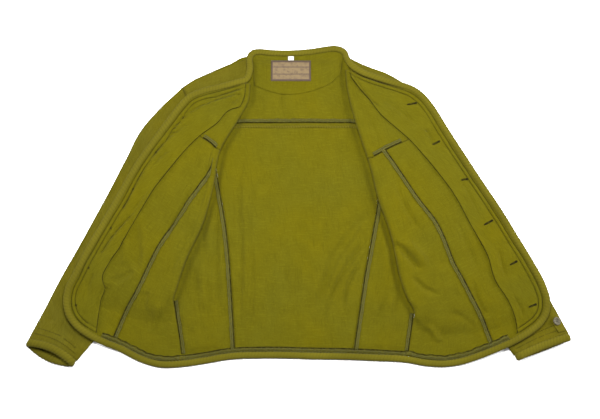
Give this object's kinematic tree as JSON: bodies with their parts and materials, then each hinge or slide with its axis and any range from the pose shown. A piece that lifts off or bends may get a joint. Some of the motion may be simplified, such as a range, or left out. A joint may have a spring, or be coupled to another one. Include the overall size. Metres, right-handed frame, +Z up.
{
  "type": "jacket",
  "caption": "Collarless wool jacket laid open on its back, fronts flipped outwards over the sleeves, with corded piping round every edge.",
  "frame": {"origin": "middle of the garment's box in plan, on the surface that the garment lies on", "axes": "+X towards the sleeve on the picture's right, +Y from the hem to the neck, +Z up, away from the surface"},
  "size_m": [1.0779, 0.6708, 0.0225],
  "materials": {
    "wool_inside": "matt fulled wool, olive green, the cloth's inner side",
    "wool_outside": "matt fulled wool, olive green, the cloth's outer side",
    "corded_piping": "ribbed wool cloth rolled round a cord",
    "overlocked_edge": "seam allowance overlocked in grey-green thread",
    "button": "horn look, satin",
    "label": "woven satin, bare",
    "size_tab": "woven satin, bare"
  },
  "bodies": {
    "root": {"allowance_back_princess_left": "overlocked_edge", "allowance_back_princess_right": "overlocked_edge", "allowance_back_yoke": "overlocked_edge", "allowance_front_hem_left": "overlocked_edge", "allowance_front_hem_right": "overlocked_edge", "allowance_front_princess_left": "overlocked_edge", "allowance_front_princess_right": "overlocked_edge", "allowance_front_yoke_left": "overlocked_edge", "allowance_front_yoke_right": "overlocked_edge", "allowance_hem_back": "overlocked_edge", "allowance_side_left": "overlocked_edge", "allowance_side_right": "overlocked_edge", "back_centre": "wool_inside", "back_neck_facing": "wool_inside", "back_side_left": "wool_inside", "back_side_right": "wool_inside", "back_yoke": "wool_inside", "cuff_button_left": "button", "cuff_button_right": "button", "cuff_roll_left": "corded_piping", "cuff_roll_right": "corded_piping", "cuff_vent_right": "wool_outside", "facing_left": "wool_inside", "facing_right": "wool_inside", "front_button_1": "button", "front_button_2": "button", "front_button_3": "button", "front_button_4": "button", "front_button_5": "button", "front_button_6": "button", "front_centre_left": "wool_inside", "front_centre_right": "wool_inside", "front_side_left": "wool_inside", "front_side_right": "wool_inside", "front_under_left": "wool_outside", "front_under_right": "wool_outside", "front_yoke_left": "wool_inside", "front_yoke_right": "wool_inside", "label": "label", "piping_front_left": "corded_piping", "piping_front_right": "corded_piping", "piping_hem": "corded_piping", "piping_neck": "corded_piping", "size_tab": "size_tab", "under_sleeve_left": "wool_outside", "under_sleeve_right": "wool_outside", "upper_sleeve_left": "wool_outside", "upper_sleeve_right": "wool_outside"}
  },
  "joints": []
}
